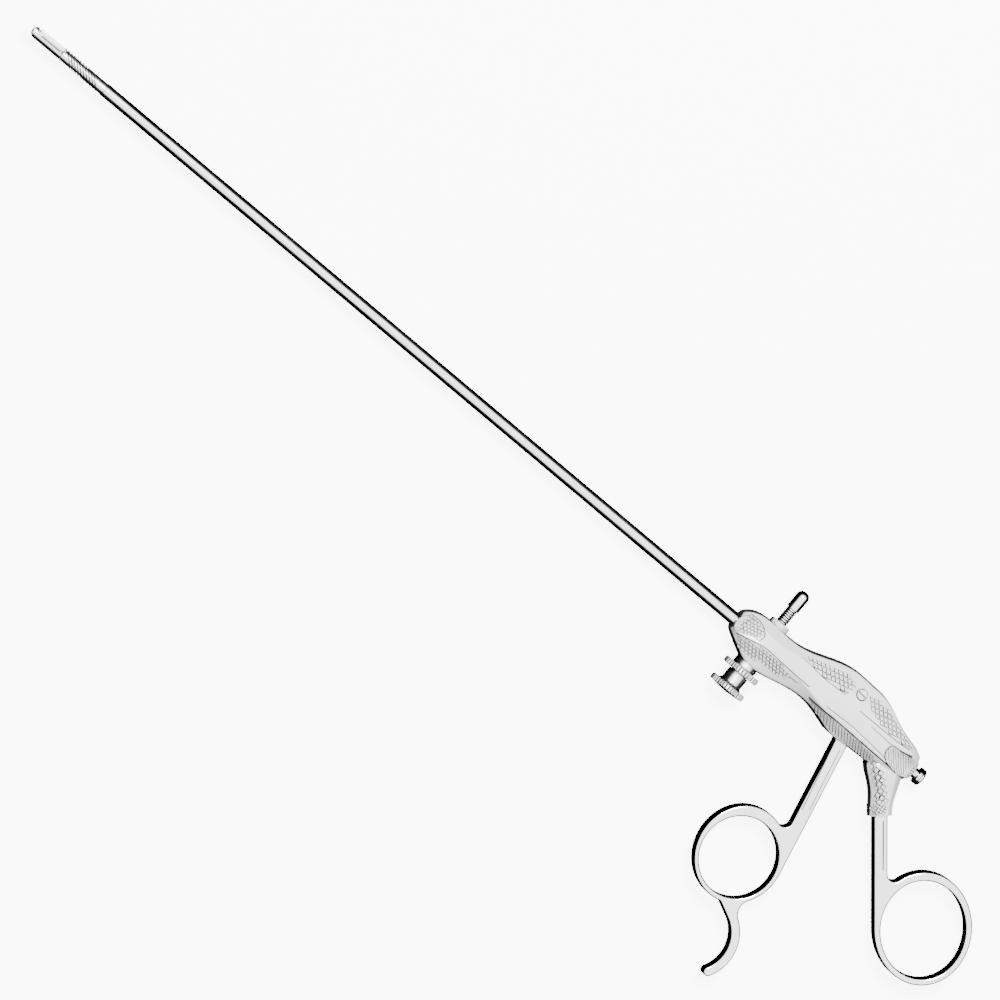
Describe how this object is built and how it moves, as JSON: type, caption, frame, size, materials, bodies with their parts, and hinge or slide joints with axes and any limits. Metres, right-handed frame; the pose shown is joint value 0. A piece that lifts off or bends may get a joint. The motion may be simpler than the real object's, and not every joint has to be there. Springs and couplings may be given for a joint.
{
  "type": "laparoscopic hook scissors",
  "caption": "Long slim hook scissors for keyhole surgery, with a moulded handle, finger rings, a connector pin and a flush port.",
  "frame": {"origin": "on the shaft's axis, at the front face of the housing's nose", "axes": "+X along the shaft towards the handle, +Y towards the connector pin, +Z towards the side with the pivot screw's head; the instrument lies on its side"},
  "size_m": [0.474, 0.1256, 0.0178],
  "materials": {
    "moulded_housing": "moulded, chequered grip zones",
    "insulating_plastic": "smooth",
    "shaft_sleeve": "shrunk sleeve",
    "polished_steel": "polished",
    "satin_steel": "satin",
    "blade_steel": "ground",
    "fastener_steel": "turned",
    "spring_steel": "drawn wire",
    "bush_brass": "turned",
    "seal_rubber": "moulded"
  },
  "bodies": {
    "handle": {"housing_left": "moulded_housing", "housing_right": "moulded_housing", "shell_screws": "fastener_steel", "nose_bush": "insulating_plastic", "core_block": "satin_steel", "shaft_tube": "satin_steel", "shaft_sleeve": "shaft_sleeve", "fork_tip": "satin_steel", "fixed_jaw": "blade_steel", "jaw_pivot_pin": "fastener_steel", "rod_seal": "seal_rubber", "pivot_screw": "fastener_steel", "pivot_nut": "fastener_steel", "rear_handle": "polished_steel", "tang_pins": "fastener_steel", "connector_pin": "polished_steel", "pin_neck": "satin_steel", "pin_flange": "insulating_plastic", "port_body": "satin_steel", "port_ring": "satin_steel", "button_collar": "satin_steel", "button_spring": "spring_steel"},
    "lever": {"front_lever": "polished_steel", "lever_bush": "bush_brass"},
    "rod": {"pull_rod": "satin_steel", "drive_pin": "fastener_steel", "rod_cross_pin": "fastener_steel"},
    "jaw": {"moving_jaw": "blade_steel"},
    "cap": {"port_cap": "satin_steel", "cap_seal": "seal_rubber"},
    "button": {"push_button": "polished_steel", "button_clip": "fastener_steel", "latch_slide": "fastener_steel"}
  },
  "joints": [
    {"name": "lever_swing", "type": "hinge", "parent": "handle", "child": "lever", "pos_m": [0.0509, 0.0083, 0], "axis": [0, 0, -1], "range_deg": [0, 16]},
    {"name": "rod_slide", "type": "slide", "parent": "handle", "child": "rod", "axis": [-1, 0, 0], "range_m": [0, 0.00235]},
    {"name": "jaw_swing", "type": "hinge", "parent": "handle", "child": "jaw", "pos_m": [-0.3133, 0, 0], "axis": [0, 0, -1], "range_deg": [0, 40.1]},
    {"name": "cap_lift", "type": "slide", "parent": "handle", "child": "cap", "axis": [0, -1, 0], "range_m": [0, 0.012]},
    {"name": "button_press", "type": "slide", "parent": "handle", "child": "button", "axis": [-1, 0, 0], "range_m": [0, 0.002], "stiffness_N_per_m": 400, "springref_m": -0.002, "deforming": ["button_spring"]}
  ],
  "couplings": [
    {"joint": "rod_slide", "follows": "lever_swing", "m_per_rad": 0.0083},
    {"joint": "jaw_swing", "follows": "lever_swing", "ratio": 2.5}
  ]
}
